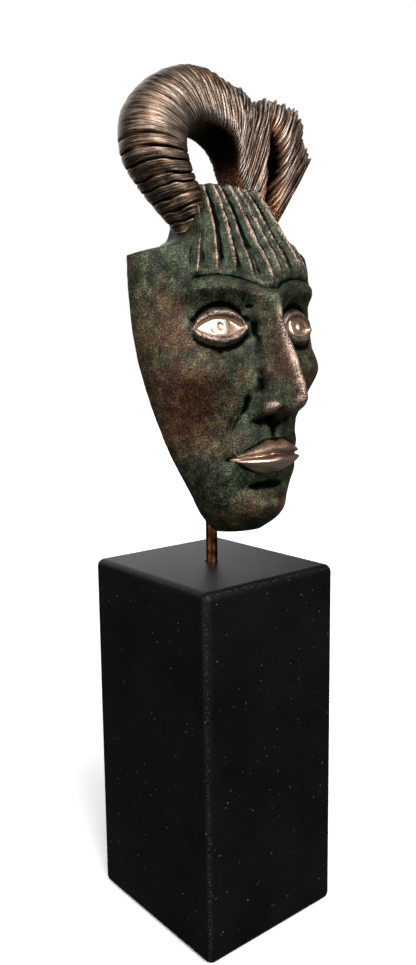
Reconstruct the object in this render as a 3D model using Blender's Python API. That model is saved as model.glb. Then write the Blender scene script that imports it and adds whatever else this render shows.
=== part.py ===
"""A cast bronze mask with a ridged horn-like crest, carried by a bent rod on a black plinth.

The plinth stands on z = 0 with its centre on the origin. The mask looks along -Y.
The rod stands in the plinth's top, bends forward behind the chin and ends in a boss
cast inside the hollow mask. All sizes are in metres.
"""

import math

import bmesh
import bpy
import numpy as np
from mathutils import Matrix, Vector

# Plinth
PLINTH_WIDTH = 0.085
PLINTH_DEPTH = 0.0935
PLINTH_HEIGHT = 0.1865
PLINTH_EDGE_RADIUS = 0.004
PLINTH_EDGE_STEPS = 4

# Rod
ROD_DIAMETER = 0.006
ROD_SEAT_DEPTH = 0.040
ROD_BEND_RADIUS = 0.016
ROD_LEAN = math.radians(45)
ROD_CLEARANCE = 0.0003
ROD_ROUNDING = 6
BEND_STEPS = 8

# Mask
MASK_HEIGHT = 0.165
MASK_WIDTH = 0.106
MASK_WALL = 0.0045
CROWN_WALL = 0.009
MASK_TILT = math.radians(5)
CHIN_CLEARANCE = 0.0205
CHIN_FORWARD = 0.017

# Boss inside the mask that takes the rod's end
BOSS_WALL = 0.0029
BOSS_SOCKET = 0.010
BOSS_ROOT = 0.006
BOSS_SIDES = 24
CUT_OVERRUN = 0.005

# The carving is drawn in modules: 165 of them make the mask's height, 53 its half width.
MODULE = MASK_HEIGHT / 165
SIDE_MODULE = MASK_WIDTH / 106
BOSS_HEIGHT = 63

# Mesh density
FACE_COLUMNS, FACE_ROWS = 96, 132
CREST_STEPS, CREST_SIDES = 150, 28
MASK_DETAIL = 0.152

# Half width and depth of the plain shell at heights above the chin, in modules
HALF_WIDTHS = ((0, 12), (6, 17.5), (20, 25.5), (40, 36), (65, 45.5), (90, 51.5), (112, 53), (135, 52.5),
               (165, 50))
DEPTHS = ((0, 15), (4, 21), (12, 26), (26, 27.5), (40, 30), (60, 32.5), (80, 34), (96, 33.5), (112, 35),
          (125, 32), (140, 25), (154, 18.5), (165, 13))
SECTION_POWER = 2.3
# Height of the shell's top edge at distances from the middle line
CROWN_LINE = ((0, 164.5), (12, 164), (20, 161.5), (24, 156), (26.3, 147), (28.2, 141), (33, 136.3), (39, 134),
              (53, 131.5))
TEMPLE = 52.5
CROWN_LIP = 1.5
# Shares of the rows: the chin's underside, the shell itself, then the crown's top face
FLOOR_SHARE, CROWN_SHARE = 0.05, 0.93
LEVEL_SHARE, LEVEL_HEIGHT = 0.78, 126
RIM_KEEP = 0.35

# Face, on thirds of its height: chin to nose base, nose base to brow, brow to hairline
MOUTH_HEIGHT, EYE_HEIGHT, BROW_HEIGHT = 37, 96, 110
EYE_OFFSET, EYE_HALF = 24.5, 12.2
UPPER_LID, LOWER_LID = 4.9, 3.3
IRIS, PUPIL = 4.7, 1.6
MOUTH_HALF = 20
UPPER_LIP, LOWER_LIP = 6.8, 8.4
NOSE_PROFILE = ((48, 0), (52, 2), (54.5, 8), (57, 15.5), (61, 20), (65, 20.5), (74, 17.5), (85, 14), (95, 10.5),
                (104, 8), (112, 5.5), (122, 3), (134, 0))
NOSE_WIDTHS = ((50, 7.5), (62, 6.6), (70, 5.8), (85, 5.2), (100, 5.4), (112, 7.5), (134, 10))
# The nose's broad root: where it starts, is full, thins and ends
NOSE_ROOT = (50, 62, 98, 122)

# Where the fold beside the nose's wing starts: distance from the middle line and height
CREASE_TOP = (14, 62)

# Soft forms of the face: distance from the middle line, height, half width, half height, relief
FACE_FORMS = {
    "chin": (0, 11, 13.5, 7.5, 5.2),
    "chin_groove": (0, 22.5, 15, 4, -3.0),
    "muzzle": (0, 38, 22, 15, 5.0),
    "mouth_corner": (MOUTH_HALF + 1.5, 36, 3, 3.5, -2.0),
    "lip_channel": (0, 49, 2.2, 4.5, -1.2),
    "nostril": (5.0, 54.6, 2.4, 1.8, -4.0),
    "wing_groove": (14, 61, 2.2, 6, -1.4),
    "cheek_hollow": (32, 50, 10, 13, -4.4),
    "cheekbone": (33, 77, 11.5, 9, 4.6),
    "jaw": (22, 22, 7, 9, 1.6),
    "eye_socket": (EYE_OFFSET - 2, EYE_HEIGHT + 1.5, 18, 11.5, -9.5),
    "eyeball": (EYE_OFFSET, EYE_HEIGHT, 13.5, 8.4, 8.8),
    "temple": (45, 112, 7, 11, -2.6),
}
# The same for the hollow behind it
HOLLOW_FORMS = {
    "muzzle": (0, 38, 20, 14, 2.5),
    "nose": (0, 70, 7.5, 20, 7.0),
    "cheek_hollow": (32, 51, 11, 14, -2.4),
    "eye_socket": (EYE_OFFSET - 2, EYE_HEIGHT + 1, 18, 14, -5.5),
}

# Hair: locks on each side of the middle one, and the spacing between them at heights above the chin
SIDE_LOCKS = 4
LOCK_SPACING = ((112, 9.2), (128, 8.3), (145, 6.7), (165, 5.3))
LOCK_RELIEF = 3.0
LOCK_SWAY = 1.2

# Crest stations from the near root over the hole to the torn end, in modules of the mask's plane:
# inner x, inner height, outer x, outer height, inner and outer half thickness, forward shift
CREST_STATIONS = (
    (-16, 134, -26, 131, 5.5, 5.5, 12),
    (-16, 147, -28.5, 140.5, 7.5, 7.5, 10),
    (-18.5, 158, -35.5, 151.5, 12, 11.5, 8),
    (-22.5, 167, -43.5, 163, 14.5, 14, 6),
    (-24.5, 176, -51.5, 177, 15.3, 15, 5),
    (-23.5, 184, -50.5, 195, 15.3, 15, 4.5),
    (-18.5, 189.5, -39, 209.5, 15.3, 14.5, 4),
    (-10.5, 191, -23, 218.4, 15, 13.5, 4),
    (-3, 189.5, -7.5, 221, 15, 11, 4),
    (3, 185.5, 6, 217.5, 15, 8.5, 4.5),
    (6, 179.5, 18.4, 215.4, 13.5, 6.5, 4),
    (8, 172, 28.4, 212, 11.5, 5.5, 2.5),
    (10.5, 162, 37.2, 213.6, 10, 5, 3),
    (14, 155, 49, 213, 8.5, 4.5, 3.5),
    (18, 151, 60, 209.5, 8, 4.5, 4),
    (21.5, 148.5, 61.5, 198, 7.5, 4, 5),
    (25, 146, 64.5, 187.5, 6.5, 3.5, 5),
    (28, 143, 61, 182, 5, 2.2, 4.5),
)
LAST_STATION = len(CREST_STATIONS) - 1
BOXY_INSIDE, ROUND_OUTSIDE = 0.55, 0.95
# The torn edge starts and is full at these stations
TEAR_START, TEAR_FULL = 8, 11
# The pocket in the torn side: its station, length in stations, place and width across, and depth
POCKET = {"station": 13.7, "length": 0.85, "across": -0.25, "width": 0.62, "depth": 10}
RIDGES_PER_STATION = 2.6
RIDGE_HEIGHTS = ((0, 1.6), (3, 1.3), (5, 0.7), (8, 0.9), (10, 1.5), (17, 1.5))
TEAR_COARSE, TEAR_FINE = 1.3, 0.9


def along(stations, at, column=1):
    """A smooth curve through the stations (place, value, ...), read at the places given."""
    table = np.array(stations, float)
    places, values = table[:, 0], table[:, column]
    slopes = np.gradient(values, places)
    at = np.clip(at, places[0], places[-1])
    left = np.clip(np.searchsorted(places, at, side="right") - 1, 0, len(places) - 2)
    span = places[left + 1] - places[left]
    t = (at - places[left]) / span
    return (values[left] * (1 + 2 * t) * (1 - t) ** 2 + values[left + 1] * t * t * (3 - 2 * t)
            + slopes[left] * span * t * (1 - t) ** 2 - slopes[left + 1] * span * t * t * (1 - t))


def bell(value, centre, width):
    return np.exp(-(((value - centre) / width) ** 2))


def rise(start, end, value):
    """0 before start, 1 after end, smooth between."""
    t = np.clip((value - start) / (end - start), 0, 1)
    return t * t * (3 - 2 * t)


def soft_forms(forms, side, height):
    relief = 0
    for at_side, at_height, half_width, half_height, amount in forms.values():
        relief = relief + amount * bell(side, at_side, half_width) * bell(height, at_height, half_height)
    return relief


def brow_line(side):
    return BROW_HEIGHT - 2 + 6 * np.sin(np.pi * np.clip((side - 4) / 50, 0, 1) ** 0.85)


def brow_carving(side, height):
    brow = rise(0, 12, side) * rise(51, 30, side)
    above = height - brow_line(side)
    return 3.2 * brow * bell(above, 0, np.where(above > 0, 7.0, 3.6))


def eye_carving(side, height):
    """Lids and iris of one eye; side is the distance from the middle line."""
    e, k = side - EYE_OFFSET, height - EYE_HEIGHT
    almond = np.clip(1 - (e / EYE_HALF) ** 2, 0, 1)
    upper, lower = UPPER_LID * almond**0.75, -LOWER_LID * almond
    roll = 0.7 + 1.6 * almond**0.5
    near = rise(4, -2, np.abs(e) - EYE_HALF)
    open_eye = rise(-0.5, 0.5, upper - k) * rise(-0.5, 0.5, k - lower) * rise(0, 0.06, almond)
    relief = near * (2.1 * bell(k, upper + roll, 1.9) + 1.3 * bell(k, lower - roll, 1.7))
    relief -= near * (1.5 * bell(k, upper + roll + 3.6, 1.3) + 0.9 * bell(k, lower - roll - 4, 2.0))
    relief += near * 0.7 * bell(k, lower - roll - 9, 3.4)
    centre = np.hypot(e, k - 0.9)
    iris = 0.5 * rise(IRIS + 0.3, IRIS - 0.2, centre) - 1.1 * rise(PUPIL + 0.3, PUPIL - 0.4, centre)
    return relief + open_eye * (iris - 1.6)


def nose_carving(side, height):
    """Ridge, wings and the broad root of the nose."""
    relief = along(NOSE_PROFILE, height) * np.exp(-((side / along(NOSE_WIDTHS, height)) ** 2.2))
    wing = bell(side, 9.0, 3.7) * bell(height, 59.5, 5.0) * rise(52.5, 56, height)
    cleft = bell(side, 5.4, 1.5) * bell(height, 59, 4.2)
    start, full, thin, end = NOSE_ROOT
    root = bell(side, 0, 15) * rise(start, full, height) * rise(end, thin, height)
    return relief + 7.6 * wing - 1.1 * cleft + 3 * root


def lip_carving(side, height):
    share = np.clip(side / MOUTH_HALF, 0, 1)
    line = MOUTH_HEIGHT - 0.9 * share**2 + 0.5 * bell(side, 0, 3)
    bow = 0.7 * bell(side, 5, 2.6) - bell(side, 0, 2.4)
    top = line + UPPER_LIP * (1 - share**1.9) + bow + 0.05
    bottom = line - LOWER_LIP * (1 - share**2.2) - 0.05
    upper = np.clip((height - line) / (top - line), 0, 1)
    lower = np.clip((line - height) / (line - bottom), 0, 1)
    relief = 3.6 * np.sin(np.pi * upper**0.8) ** 0.8 + 4.8 * np.sin(np.pi * lower**0.75) ** 0.8
    relief = relief * np.clip(1 - (side / MOUTH_HALF) ** 2, 0, 1) ** 0.4
    return relief - 2.2 * bell(height, line, 0.9) * rise(1.12, 0.9, side / MOUTH_HALF)


def crease_carving(side, height):
    """The fold from the nose's wing to the mouth's corner."""
    top_side, top_height = CREASE_TOP
    slant = top_side + 0.5 * (top_height - height)
    return -1.7 * bell(side, slant, 2.8) * bell(height, top_height - 10, 10)


def hair_carving(x, height):
    """Raised locks that fan down the forehead and stop above the brow."""
    sway = LOCK_SWAY * np.sin((height - LOCK_SPACING[0][0]) / 15)
    place = (x - sway) / along(LOCK_SPACING, height)
    lock = np.clip(np.round(place), -SIDE_LOCKS, SIDE_LOCKS)
    cover = rise(SIDE_LOCKS + 0.9, SIDE_LOCKS + 0.25, np.abs(place))
    start = brow_line(np.abs(x)) + 5.5
    grown = rise(0, 9, height - start)
    edge = 1.5 * bell(height, start, 1.7) * rise(42, 34, np.abs(x))
    across = place - lock
    blade = rise(-0.5, 0, across) * rise(0.34, 0, across)
    return grown * cover * (LOCK_RELIEF * blade - 1.2) - edge


def shell_base(u, v, wall=0.0, crown=0.0):
    """The plain shell in modules, or its hollow one wall further in.

    u runs across from -1 to 1 and v up from 0 to 1. It gives x, depth in front of the open
    back, height, the outward direction in x and depth, and how much carving is let through.
    """
    s = np.sin(u * np.pi / 2)
    curve = np.clip(1 - np.abs(s) ** SECTION_POWER, 0, 1) ** (1 / SECTION_POWER)
    top = along(CROWN_LINE, np.abs(s) * TEMPLE)
    body = np.clip((v - FLOOR_SHARE) / (CROWN_SHARE - FLOOR_SHARE), 0, 1)
    level = LEVEL_HEIGHT - crown
    height = wall + (level - wall) * np.clip(body / LEVEL_SHARE, 0, 1)
    height = height + (top - LEVEL_HEIGHT) * np.clip((body - LEVEL_SHARE) / (1 - LEVEL_SHARE), 0, 1)
    closing = np.clip((v - CROWN_SHARE) / (1 - CROWN_SHARE), 0, 1)
    opening = np.clip(1 - v / FLOOR_SHARE, 0, 1)
    height = height + CROWN_LIP * np.sin(np.clip(closing * 4, 0, 1) * np.pi / 2) * curve
    half, deep = along(HALF_WIDTHS, height), along(DEPTHS, height)
    depth = (deep - wall) * curve * (1 - closing) * (1 - (1 - RIM_KEEP) * opening)
    out_x = np.sign(s) * np.abs(s) ** (SECTION_POWER - 1) / half
    out_depth = curve ** (SECTION_POWER - 1) / deep
    size = np.hypot(out_x, out_depth)
    carved = (1 - rise(0.0, 0.6, closing)) * (1 - rise(0.2, 1.0, opening)) * rise(0, 0.35, curve)
    return (half - wall) * s, depth, height, out_x / size, out_depth / size, carved


def outer_point(u, v):
    """A point of the mask's front in modules."""
    x, depth, height, out_x, out_depth, carved = shell_base(u, v)
    side = np.abs(x)
    relief = soft_forms(FACE_FORMS, side, height) + brow_carving(side, height)
    relief += eye_carving(side, height) + nose_carving(side, height)
    relief += lip_carving(side, height) + crease_carving(side, height)
    relief = (relief + hair_carving(x, height)) * carved
    return x + out_x * relief, depth + out_depth * relief, height


def hollow_point(u, v):
    """A point of the inner wall in modules: only the broad forms are pressed into it."""
    x, depth, height, out_x, out_depth, carved = shell_base(u, v, MASK_WALL / MODULE, CROWN_WALL / MODULE)
    relief = soft_forms(HOLLOW_FORMS, np.abs(x), height)
    relief = relief - 1.5 * rise(LEVEL_HEIGHT - 8, LEVEL_HEIGHT - 2, height)
    relief = relief * carved
    return x + out_x * relief, depth + out_depth * relief, height


def crest_ridges(step):
    """Sharp ridges that cross the crest, uneven in width."""
    phase = step * RIDGES_PER_STATION
    drift = 0.35 * np.sin(step * 1.9) + 0.25 * np.sin(step * 4.3 + 1)
    wave = 0.5 - np.abs(np.sin(np.pi * (phase + drift))) ** 0.8
    return wave * along(RIDGE_HEIGHTS, step)


def crest_point(step, turn):
    """A point of the crest's skin in modules: step is the station, turn goes round the section.

    At a turn of 0 the point is on the crest's outer edge.
    """
    table = [(i, *row) for i, row in enumerate(CREST_STATIONS)]
    inner_x, inner_h, outer_x, outer_h, thick_in, thick_out, shift = (
        along(table, step, column) for column in range(1, 8)
    )
    c, s = np.cos(turn), np.sin(turn)
    power = np.where(c < 0, BOXY_INSIDE, ROUND_OUTSIDE)
    c, s = np.sign(c) * np.abs(c) ** power, np.sign(s) * np.abs(s) ** power
    reach_x, reach_h = (outer_x - inner_x) / 2, (outer_h - inner_h) / 2
    ridge = crest_ridges(step) * rise(-1.0, -0.4, c)
    tear = TEAR_COARSE * np.sin(step * 9.7) + TEAR_FINE * np.sin(step * 23.1 + 2)
    tear = tear * rise(TEAR_START, TEAR_FULL, step) * rise(0.6, 1, c)
    grow = 1 + (ridge + tear) / np.hypot(reach_x, reach_h)
    thick = thick_in + (thick_out - thick_in) * (c + 1) / 2
    along_pocket = (step - POCKET["station"]) / POCKET["length"]
    across_pocket = (c - POCKET["across"]) / POCKET["width"]
    away = along_pocket**2 + across_pocket**2
    pocket = POCKET["depth"] * np.exp(-(away**1.6)) * rise(0.1, 0.7, s)
    x = (inner_x + outer_x) / 2 + reach_x * c * grow
    height = (inner_h + outer_h) / 2 + reach_h * c * grow
    return x, shift + (thick + ridge) * s - pocket, height


def mask_matrix():
    """The mask's place: its own origin is the chin's lowest point in the plane of the open back."""
    place = Vector((0, -CHIN_FORWARD, PLINTH_HEIGHT + CHIN_CLEARANCE))
    return Matrix.Translation(place) @ Matrix.Rotation(-MASK_TILT, 4, "X")


def set_points(verts, x, depth, height):
    """Moves vertices to points given in modules, depth being forward of the open back."""
    for vert, a, b, c in zip(verts, x * SIDE_MODULE, depth * MODULE, height * MODULE):
        vert.co = (a, -b, c)


def grid_places(verts):
    """The two places, each 0 to 1, of a fresh grid's vertices."""
    return (np.array([vert.co.x for vert in verts]) + 1) / 2, (np.array([vert.co.y for vert in verts]) + 1) / 2


def add_object(name, bm):
    mesh = bpy.data.meshes.new(name)
    bm.to_mesh(mesh)
    bm.free()
    mesh.shade_smooth()
    mesh.set_sharp_from_angle(angle=math.radians(40))
    obj = bpy.data.objects.new(name, mesh)
    bpy.context.scene.collection.objects.link(obj)
    return obj


def add_cutter(name, bm):
    """A shape that a Boolean cuts or joins with, left out of the model itself."""
    obj = add_object(name, bm)
    obj.hide_render = True
    obj.display_type = "WIRE"
    return obj


def add_boolean(obj, other, operation):
    modifier = obj.modifiers.new(operation.title(), "BOOLEAN")
    modifier.operation = operation
    modifier.object = other
    modifier.solver = "EXACT"


def make_material(name, colour, roughness, metallic):
    material = bpy.data.materials.new(name)
    material.use_nodes = True
    shader = material.node_tree.nodes["Principled BSDF"]
    shader.inputs["Base Color"].default_value = (*colour, 1)
    shader.inputs["Roughness"].default_value = roughness
    shader.inputs["Metallic"].default_value = metallic
    return material


def shell_mesh():
    """Front and hollow of the mask as one closed wall: a grid, extruded, each layer put on its own surface."""
    bm = bmesh.new()
    bmesh.ops.create_grid(bm, x_segments=FACE_COLUMNS, y_segments=FACE_ROWS, size=1)
    front = list(bm.verts)
    across, up = grid_places(front)
    extruded = bmesh.ops.extrude_face_region(bm, geom=bm.faces[:], use_keep_orig=True)
    back = [item for item in extruded["geom"] if isinstance(item, bmesh.types.BMVert)]
    back_across, back_up = grid_places(back)
    set_points(front, *outer_point(across * 2 - 1, up))
    set_points(back, *hollow_point(back_across * 2 - 1, back_up))
    bmesh.ops.remove_doubles(bm, verts=bm.verts[:], dist=1e-6)
    bmesh.ops.recalc_face_normals(bm, faces=bm.faces[:])
    return bm


def crest_mesh():
    """The crest as a tube: a grid rolled round its section and closed at both ends."""
    bm = bmesh.new()
    bmesh.ops.create_grid(bm, x_segments=CREST_STEPS, y_segments=CREST_SIDES, size=1)
    places = list(bm.verts)
    length, round_section = grid_places(places)
    set_points(places, *crest_point(length * LAST_STATION, round_section * 2 * np.pi))
    bmesh.ops.remove_doubles(bm, verts=bm.verts[:], dist=1e-6)
    bmesh.ops.holes_fill(bm, edges=[edge for edge in bm.edges if edge.is_boundary], sides=0)
    bmesh.ops.recalc_face_normals(bm, faces=bm.faces[:])
    return bm


def cylinder_mesh(start, end, radius):
    bm = bmesh.new()
    way = end - start
    turn = way.to_track_quat("Z", "Y").to_matrix().to_4x4()
    place = Matrix.Translation((start + end) / 2) @ turn
    bmesh.ops.create_cone(bm, cap_ends=True, segments=BOSS_SIDES, radius1=radius, radius2=radius,
                          depth=way.length, matrix=place)
    return bm


def rod_direction():
    """The way the rod points at its top end."""
    return Vector((0, -math.sin(ROD_LEAN), math.cos(ROD_LEAN)))


def rod_top():
    """The rod's top end: where its axis meets the hollow's wall behind the nose."""
    wall = along(DEPTHS, BOSS_HEIGHT) + soft_forms(HOLLOW_FORMS, 0, BOSS_HEIGHT)
    return mask_matrix() @ Vector((0, MASK_WALL - wall * MODULE, BOSS_HEIGHT * MODULE))


def rod_path():
    """Straight out of the plinth, round the bend and straight up to the rod's top end."""
    top = rod_top()
    corner_height = top.z + top.y / math.tan(ROD_LEAN)
    bend_start = corner_height - ROD_BEND_RADIUS * math.tan(ROD_LEAN / 2)
    centre = Vector((0, -ROD_BEND_RADIUS, bend_start))
    points = [Vector((0, 0, PLINTH_HEIGHT - ROD_SEAT_DEPTH))]
    for step in range(BEND_STEPS + 1):
        angle = ROD_LEAN * step / BEND_STEPS
        points.append(centre + ROD_BEND_RADIUS * Vector((0, math.cos(angle), math.sin(angle))))
    points.append(top)
    return points


def add_rod():
    points = rod_path()
    curve = bpy.data.curves.new("rod", "CURVE")
    curve.dimensions = "3D"
    spline = curve.splines.new("POLY")
    spline.points.add(len(points) - 1)
    for target, point in zip(spline.points, points):
        target.co = (*point, 1)
    curve.bevel_depth = ROD_DIAMETER / 2
    curve.bevel_resolution = ROD_ROUNDING
    curve.use_fill_caps = True
    rod = bpy.data.objects.new("rod", curve)
    bpy.context.scene.collection.objects.link(rod)
    return rod


def add_plinth():
    bm = bmesh.new()
    bmesh.ops.create_cube(bm, size=1)
    bmesh.ops.scale(bm, vec=(PLINTH_WIDTH, PLINTH_DEPTH, PLINTH_HEIGHT), verts=bm.verts[:])
    bmesh.ops.translate(bm, vec=(0, 0, PLINTH_HEIGHT / 2), verts=bm.verts[:])
    plinth = add_object("plinth", bm)
    bevel = plinth.modifiers.new("Edges", "BEVEL")
    bevel.width = PLINTH_EDGE_RADIUS
    bevel.segments = PLINTH_EDGE_STEPS
    foot = Vector((0, 0, PLINTH_HEIGHT - ROD_SEAT_DEPTH - ROD_CLEARANCE))
    mouth = Vector((0, 0, PLINTH_HEIGHT + CUT_OVERRUN))
    hole = cylinder_mesh(foot, mouth, ROD_DIAMETER / 2 + ROD_CLEARANCE)
    add_boolean(plinth, add_cutter("rod_hole", hole), "DIFFERENCE")
    return plinth


def add_mask():
    mask = add_object("mask", shell_mesh())
    mask.matrix_world = mask_matrix()
    crest = add_cutter("crest_form", crest_mesh())
    crest.matrix_world = mask_matrix()
    add_boolean(mask, crest, "UNION")
    top, way = rod_top(), rod_direction()
    bore_radius = ROD_DIAMETER / 2 + ROD_CLEARANCE
    boss = cylinder_mesh(top - way * BOSS_SOCKET, top + way * BOSS_ROOT, bore_radius + BOSS_WALL)
    add_boolean(mask, add_cutter("boss_form", boss), "UNION")
    bore = cylinder_mesh(top - way * (BOSS_SOCKET + CUT_OVERRUN), top + way * ROD_CLEARANCE, bore_radius)
    add_boolean(mask, add_cutter("boss_bore", bore), "DIFFERENCE")
    thin = mask.modifiers.new("Thin", "DECIMATE")
    thin.ratio = MASK_DETAIL
    return mask


def main():
    for obj in list(bpy.data.objects):
        bpy.data.objects.remove(obj)
    finishes = (
        (add_plinth(), "black_painted_wood", (0.012, 0.012, 0.014), 0.45, 0.0),
        (add_rod(), "copper_coloured_rod", (0.32, 0.15, 0.08), 0.35, 1.0),
        (add_mask(), "patinated_bronze", (0.13, 0.13, 0.09), 0.45, 0.9),
    )
    for obj, name, colour, roughness, metallic in finishes:
        obj.data.materials.append(make_material(name, colour, roughness, metallic))


main()
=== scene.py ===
"""Looks of the cast bronze mask on its black plinth.

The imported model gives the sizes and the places. This script makes the finer surfaces that
stand for its nodes, their finishes, the floor, the light and the camera. Sizes are in metres,
+Z up, and the mask looks along -Y.
"""

import math

import bmesh
import bpy
import numpy as np
from mathutils import Matrix, Vector


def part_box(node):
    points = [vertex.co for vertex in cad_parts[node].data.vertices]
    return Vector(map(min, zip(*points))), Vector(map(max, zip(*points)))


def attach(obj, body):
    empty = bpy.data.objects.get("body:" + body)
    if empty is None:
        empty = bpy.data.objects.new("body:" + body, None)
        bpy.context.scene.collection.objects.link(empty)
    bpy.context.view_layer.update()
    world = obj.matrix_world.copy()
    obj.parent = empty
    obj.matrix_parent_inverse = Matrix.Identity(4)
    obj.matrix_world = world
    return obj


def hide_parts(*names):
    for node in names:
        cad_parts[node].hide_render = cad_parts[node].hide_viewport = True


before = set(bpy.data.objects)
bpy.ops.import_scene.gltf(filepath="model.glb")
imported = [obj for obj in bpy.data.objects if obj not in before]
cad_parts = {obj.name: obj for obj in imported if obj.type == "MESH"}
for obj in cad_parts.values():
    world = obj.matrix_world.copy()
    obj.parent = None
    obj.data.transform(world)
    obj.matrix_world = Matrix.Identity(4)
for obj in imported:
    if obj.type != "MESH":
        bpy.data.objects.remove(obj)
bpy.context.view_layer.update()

PLINTH_LOW, PLINTH_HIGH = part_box("plinth")
ROD_LOW, ROD_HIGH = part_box("rod")
MASK_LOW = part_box("mask")[0]

# Plinth and rod, in metres
PLINTH_EDGE_RADIUS = 0.004
ROD_RADIUS = ROD_HIGH.x
ROD_LEAN = math.radians(45)
ROD_BEND_RADIUS = 0.016
ROD_CLEARANCE = 0.0003
ROD_SIDES, ROD_BEND_STEPS = 32, 14
# The rod's foot has a broken edge: its height, and the share of the radius that its flat keeps
ROD_FOOT_BREAK, ROD_FOOT_SHARE = 0.0006, 0.97
HOLE_SIDES, HOLE_RIM_BREAK = 48, 0.0005
BOSS_SIDES = 48

# Mask and the boss inside it, in metres
MASK_HEIGHT = 0.165
MASK_WIDTH = 0.106
MASK_WALL = 0.0045
CROWN_WALL = 0.009
MASK_TILT = math.radians(5)
CHIN_FORWARD = 0.017
BOSS_WALL = 0.0029
BOSS_SOCKET = 0.010
BOSS_ROOT = 0.006

# The carving is drawn in modules: 165 of them make the mask's height, 53 its half width.
MODULE = MASK_HEIGHT / 165
SIDE_MODULE = MASK_WIDTH / 106
# Height at which the rod's axis meets the hollow, in modules
BOSS_HEIGHT = 63

# Mesh density: cells across and up the face and its hollow, along and round the crest
FACE_COLUMNS, FACE_ROWS = 288, 304
HOLLOW_COLUMNS, HOLLOW_ROWS = 72, 76
CREST_STEPS, CREST_SIDES = 1160, 80

# Half width and depth of the plain shell at heights above the chin, in modules
HALF_WIDTHS = ((0, 12), (6, 17.5), (20, 25.5), (40, 36), (65, 45.5), (90, 51.5), (112, 53),
               (135, 52.5), (165, 50))
DEPTHS = ((0, 15), (4, 21), (12, 26), (26, 27.5), (40, 30), (60, 32.5), (80, 34), (96, 33.5),
          (112, 35), (125, 32), (140, 25), (154, 18.5), (165, 13))
# The section is an oval with squared shoulders: 2 would be an ellipse
SECTION_POWER = 2.3
# Height of the shell's top edge at distances from the middle line
CROWN_LINE = ((0, 164.5), (12, 164), (20, 161.5), (24, 156), (26.3, 147), (28.2, 141), (33, 136.3),
              (39, 134), (53, 131.5))
TEMPLE = 52.5
# The crown's rounded edge: how far it rises, and within which share of the way back it does
CROWN_LIP, CROWN_LIP_SHARE = 1.5, 0.25
# Shares of the rows: the chin's underside, the shell itself, then the crown's top face
FLOOR_SHARE, CROWN_SHARE = 0.05, 0.93
# Up to this share of the shell its rows are level, and reach this height
LEVEL_SHARE, LEVEL_HEIGHT = 0.78, 126
# Share of the depth that the chin's underside keeps at the rim
RIM_KEEP = 0.35

# Face, on thirds of its height: chin to nose base, nose base to brow, brow to hairline
MOUTH_HEIGHT, EYE_HEIGHT, BROW_HEIGHT = 37, 96, 110
EYE_OFFSET, EYE_HALF = 24.5, 12.2
UPPER_LID, LOWER_LID = 4.9, 3.3
IRIS, PUPIL = 4.7, 1.6
MOUTH_HALF = 20
UPPER_LIP, LOWER_LIP = 6.8, 8.4
NOSE_PROFILE = ((48, 0), (52, 2), (54.5, 8), (57, 15.5), (61, 20), (65, 20.5), (74, 17.5), (85, 14),
                (95, 10.5), (104, 8), (112, 5.5), (122, 3), (134, 0))
NOSE_WIDTHS = ((50, 7.5), (62, 6.6), (70, 5.8), (85, 5.2), (100, 5.4), (112, 7.5), (134, 10))
# The nose's broad root: where it starts, is full, thins and ends
NOSE_ROOT = (50, 62, 98, 122)

# Where the fold beside the nose's wing starts: distance from the middle line and height
CREASE_TOP = (14, 62)

# Soft forms of the face: distance from the middle line, height, half width, half height, relief
FACE_FORMS = {
    "chin": (0, 11, 13.5, 7.5, 5.2),
    "chin_groove": (0, 22.5, 15, 4, -3.0),
    "muzzle": (0, 38, 22, 15, 5.0),
    "mouth_corner": (MOUTH_HALF + 1.5, 36, 3, 3.5, -2.0),
    "lip_channel": (0, 49, 2.2, 4.5, -1.2),
    "nostril": (5.0, 54.6, 2.4, 1.8, -4.0),
    "wing_groove": (14, 61, 2.2, 6, -1.4),
    "cheek_hollow": (32, 50, 10, 13, -4.4),
    "cheekbone": (33, 77, 11.5, 9, 4.6),
    "jaw": (22, 22, 7, 9, 1.6),
    "eye_socket": (EYE_OFFSET - 2, EYE_HEIGHT + 1.5, 18, 11.5, -9.5),
    "eyeball": (EYE_OFFSET, EYE_HEIGHT, 13.5, 8.4, 8.8),
    "temple": (45, 112, 7, 11, -2.6),
}
# The same for the hollow behind it
HOLLOW_FORMS = {
    "muzzle": (0, 38, 20, 14, 2.5),
    "nose": (0, 70, 7.5, 20, 7.0),
    "cheek_hollow": (32, 51, 11, 14, -2.4),
    "eye_socket": (EYE_OFFSET - 2, EYE_HEIGHT + 1, 18, 14, -5.5),
}

# Where hands wore the patina brown, on the same pattern as the face's forms
BROWN_FORMS = {
    "cheek": (36, 60, 14, 26, 0.45),
    "nose": (0, 84, 9, 20, 0.3),
    "chin": (8, 11, 12, 9, 0.3),
    "temple": (48, 100, 10, 40, 0.25),
}

# Hair: locks on each side of the middle one, and the spacing between them at heights above the chin
SIDE_LOCKS = 4
LOCK_SPACING = ((112, 9.2), (128, 8.3), (145, 6.7), (165, 5.3))
# Relief of a lock over its groove's bottom, depth of the groove below the skin, and sideways sway
LOCK_RELIEF, GROOVE_DEPTH, LOCK_SWAY = 3.6, 1.2, 1.2
# The locks' tips stand this far above the brow, and rise to full relief over this much height
TIP_GAP, TIP_LENGTH = 5.5, 9
STRAND_RELIEF, STRANDS_PER_LOCK = 0.18, 4

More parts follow.
